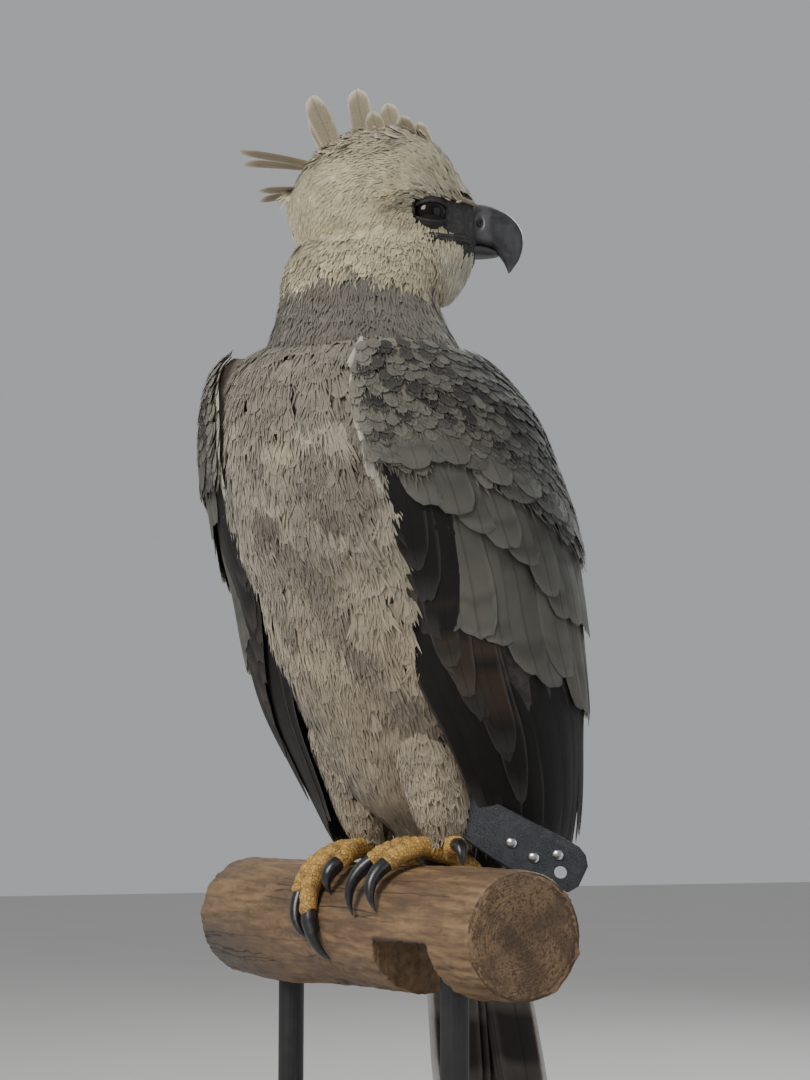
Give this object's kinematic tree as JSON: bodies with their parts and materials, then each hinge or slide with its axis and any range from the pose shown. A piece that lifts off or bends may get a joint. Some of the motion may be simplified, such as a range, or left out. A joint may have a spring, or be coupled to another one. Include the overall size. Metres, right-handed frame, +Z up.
{
  "type": "harpy eagle",
  "caption": "Life-size still harpy eagle, upright with its head turned to its left, gripping a cut log held over a plain display stand.",
  "frame": {"origin": "middle of the underside of the display stand's base, on the floor", "axes": "+Z up; +X along the log towards its near cut end, which is the bird's left; -Y the way the toes point"},
  "size_m": [0.536, 0.36, 1.0513],
  "materials": {
    "head_feathers": "soft pale grey-buff feathers, matte",
    "collar_feathers": "grey feathers of the neck and shoulders, matte",
    "breast_feathers": "soft buff-grey breast and leg feathers, matte",
    "wing_feathers": "grey coverts over near-black flight feathers, matte",
    "tail_feathers": "dark barred tail feathers, matte",
    "horn": "slate-black horn of bill and claws, satin",
    "scaled_skin": "ochre-yellow scaled skin of the feet, satin",
    "eye": "dark brown wet eye, glossy",
    "jess_leather": "blue-black worn leather, satin",
    "rivet_metal": "bright metal",
    "perch_wood": "peeled, worn brown log",
    "stand_wood": "dark stained board, satin",
    "stand_steel": "dark satin paint on steel rod"
  },
  "bodies": {
    "root": {"torso": "breast_feathers", "neck": "collar_feathers", "head": "head_feathers", "crest": "head_feathers", "bill_upper": "horn", "bill_lower": "horn", "tail": "tail_feathers", "eye_left": "eye", "wing_left": "wing_feathers", "leg_left": "breast_feathers", "foot_left": "scaled_skin", "claw_left_inner": "horn", "claw_left_middle": "horn", "claw_left_outer": "horn", "claw_left_hind": "horn", "eye_right": "eye", "wing_right": "wing_feathers", "leg_right": "breast_feathers", "foot_right": "scaled_skin", "claw_right_inner": "horn", "claw_right_middle": "horn", "claw_right_outer": "horn", "claw_right_hind": "horn", "jess_strap": "jess_leather", "jess_rivet_1": "rivet_metal", "jess_rivet_2": "rivet_metal", "jess_rivet_3": "rivet_metal", "perch_log": "perch_wood", "stand_base": "stand_wood", "stand_rod_1": "stand_steel", "stand_rod_2": "stand_steel"}
  },
  "joints": []
}
